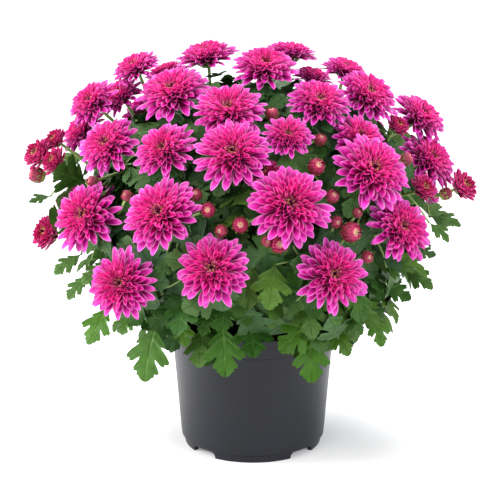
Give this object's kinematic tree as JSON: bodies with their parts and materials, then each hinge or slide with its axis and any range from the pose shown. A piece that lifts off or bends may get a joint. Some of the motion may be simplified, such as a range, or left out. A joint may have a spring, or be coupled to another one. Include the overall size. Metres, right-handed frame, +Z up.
{
  "type": "pot chrysanthemum",
  "caption": "Pot chrysanthemum: a domed head of double magenta blooms over lobed green leaves, grown from several cuttings in a round dark plastic nursery pot.",
  "frame": {"origin": "on the pot's axis at the level of the surface that its foot stands on, which is the bottom centre of the bounding box", "axes": "+Z up along the pot's axis; -Y towards the viewer of the picture, the side that the front blooms face; +X to that viewer's right"},
  "size_m": [0.4443, 0.4043, 0.4098],
  "materials": {
    "pot": "smooth matte moulded plastic",
    "soil": "crumbly matte peat",
    "foliage": "soft satin leaves and stems",
    "petals": "soft matte petals"
  },
  "bodies": {
    "root": {"bloom_01": "petals", "bloom_02": "petals", "bloom_03": "petals", "bloom_04": "petals", "bloom_05": "petals", "bloom_06": "petals", "bloom_07": "petals", "bloom_08": "petals", "bloom_09": "petals", "bloom_10": "petals", "bloom_11": "petals", "bloom_12": "petals", "bloom_13": "petals", "bloom_14": "petals", "bloom_15": "petals", "bloom_16": "petals", "bloom_17": "petals", "bloom_18": "petals", "bloom_19": "petals", "bloom_20": "petals", "bloom_21": "petals", "bloom_22": "petals", "bloom_23": "petals", "bloom_24": "petals", "bloom_25": "petals", "bloom_26": "petals", "bloom_27": "petals", "bloom_28": "petals", "bloom_29": "petals", "bloom_30": "petals", "bloom_31": "petals", "bloom_32": "petals", "bloom_33": "petals", "bloom_34": "petals", "bloom_35": "petals", "bloom_36": "petals", "bloom_37": "petals", "bloom_38": "petals", "bloom_39": "petals", "bloom_40": "petals", "bloom_41": "petals", "bloom_42": "petals", "bloom_43": "petals", "bloom_44": "petals", "bloom_45": "petals", "bloom_46": "petals", "bloom_47": "petals", "bloom_48": "petals", "plant_back_left": "foliage", "plant_back_right": "foliage", "plant_front": "foliage", "plant_left": "foliage", "plant_right": "foliage", "pot": "pot", "soil": "soil"}
  },
  "joints": []
}
